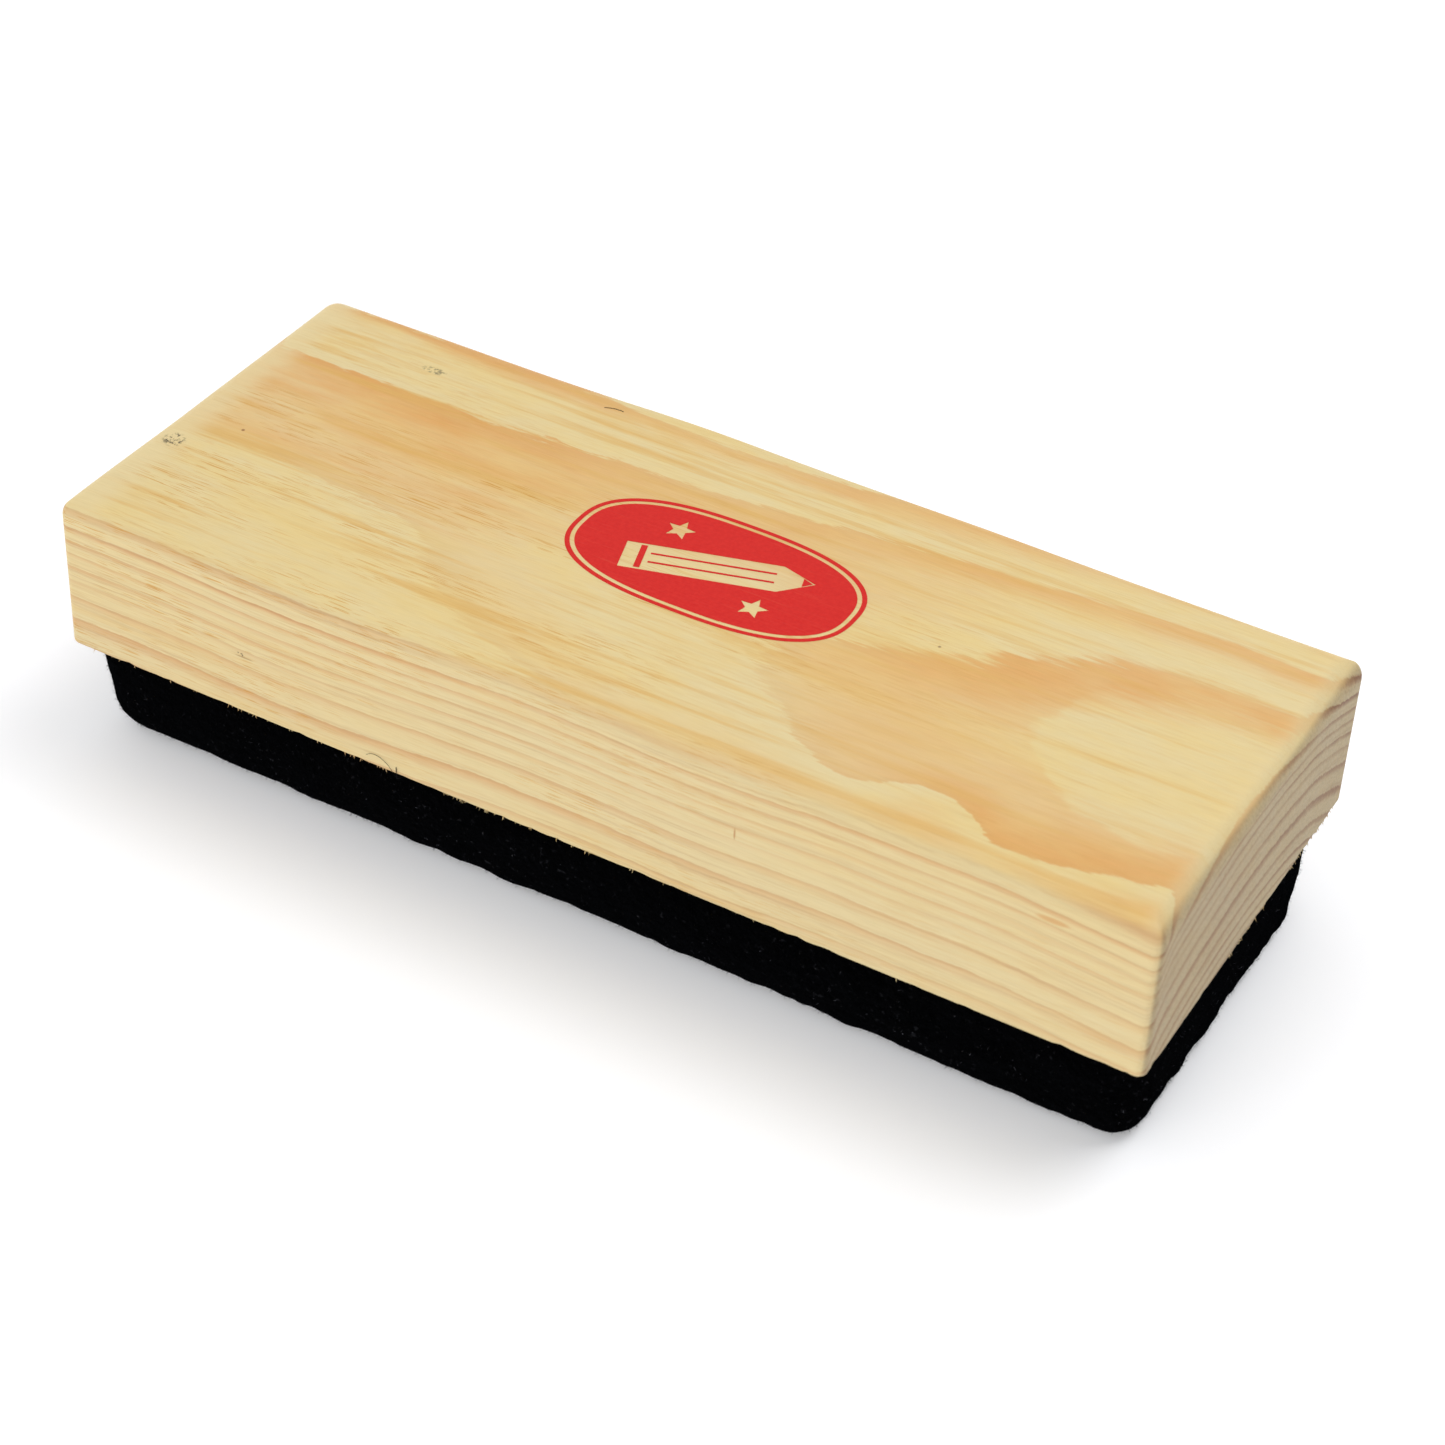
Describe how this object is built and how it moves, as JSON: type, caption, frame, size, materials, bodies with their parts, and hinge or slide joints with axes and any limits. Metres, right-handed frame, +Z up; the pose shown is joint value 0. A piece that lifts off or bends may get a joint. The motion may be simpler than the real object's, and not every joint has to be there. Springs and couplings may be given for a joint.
{
  "type": "chalkboard eraser",
  "caption": "Chalkboard eraser: a planed pine handle block on a soft black felt wiping pad with a foam core.",
  "frame": {"origin": "middle of the felt's wiping face, which the eraser rests on", "axes": "+X along the length, +Y across the width, +Z up from the felt to the top of the block"},
  "size_m": [0.15, 0.059, 0.0366],
  "materials": {
    "pine": "satin",
    "felt": "matte",
    "foam": "matte",
    "glue": "gloss",
    "print_ink": "satin"
  },
  "bodies": {
    "root": {"handle_block": "pine", "block_glue": "glue", "felt_cover": "felt", "hem_glue": "glue", "foam_core": "foam"}
  },
  "joints": []
}
